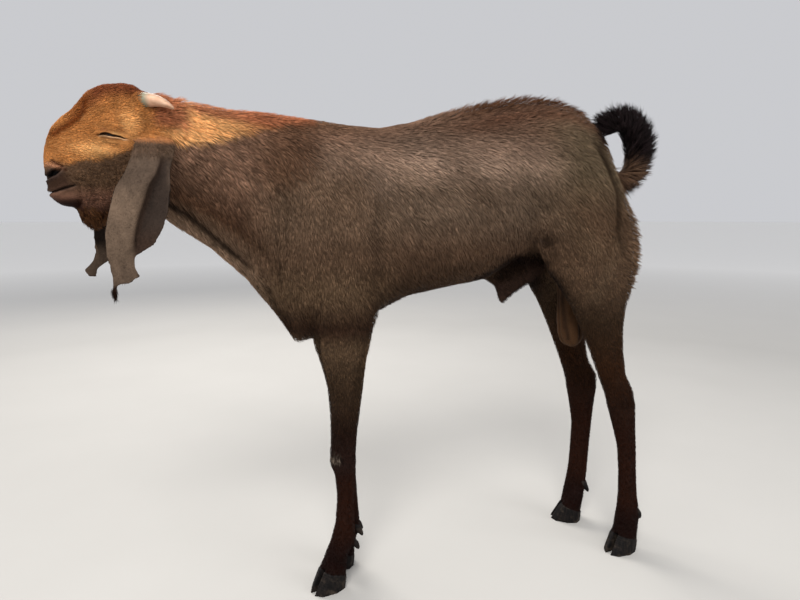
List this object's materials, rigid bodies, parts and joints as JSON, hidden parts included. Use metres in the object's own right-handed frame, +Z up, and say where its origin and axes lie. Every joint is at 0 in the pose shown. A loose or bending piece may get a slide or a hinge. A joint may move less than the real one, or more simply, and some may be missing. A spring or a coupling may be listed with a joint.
{
  "type": "goat",
  "caption": "Standing young goat buck with a convex nose, long folded hanging ears, short horns and a tail curled up over the rump; a still, life-size display model.",
  "frame": {"origin": "middle of the bounding box, on the floor that the hooves stand on", "axes": "+X from the rump to the nose, +Y to the goat's own left, +Z up"},
  "size_m": [1.043, 0.256, 0.872],
  "materials": {
    "body_coat": "short dull grey-brown hair lying back along the body",
    "head_coat": "short ginger-brown hair, darker towards the muzzle",
    "ear_coat": "very short grey-brown hair on thin folded skin",
    "leg_coat": "short dark red-brown hair",
    "tail_coat": "longer near-black hair",
    "bare_skin": "nearly bare brown skin",
    "horn": "pale ridged horn, satin",
    "hoof": "dark hoof horn, satin",
    "eye": "wet dark brown eye"
  },
  "bodies": {
    "root": {"eye_left": "eye", "horn_left": "horn", "ear_left": "ear_coat", "eye_right": "eye", "horn_right": "horn", "ear_right": "ear_coat", "tail": "tail_coat", "scrotum": "bare_skin", "front_left_dewclaw_outer": "hoof", "front_left_dewclaw_inner": "hoof", "front_right_dewclaw_outer": "hoof", "front_right_dewclaw_inner": "hoof", "hind_left_dewclaw_outer": "hoof", "hind_left_dewclaw_inner": "hoof", "hind_right_dewclaw_outer": "hoof", "hind_right_dewclaw_inner": "hoof", "lower_jaw": "head_coat", "beard": "head_coat", "head": "head_coat", "neck": "body_coat", "sheath": "bare_skin", "front_left_forearm": "leg_coat", "front_left_cannon": "leg_coat", "front_left_claw_outer": "hoof", "front_left_claw_inner": "hoof", "front_right_forearm": "leg_coat", "front_right_cannon": "leg_coat", "front_right_claw_outer": "hoof", "front_right_claw_inner": "hoof", "hind_left_shank": "leg_coat", "hind_left_cannon": "leg_coat", "hind_left_claw_outer": "hoof", "hind_left_claw_inner": "hoof", "hind_right_shank": "leg_coat", "hind_right_cannon": "leg_coat", "hind_right_claw_outer": "hoof", "hind_right_claw_inner": "hoof", "trunk": "body_coat"}
  },
  "joints": []
}
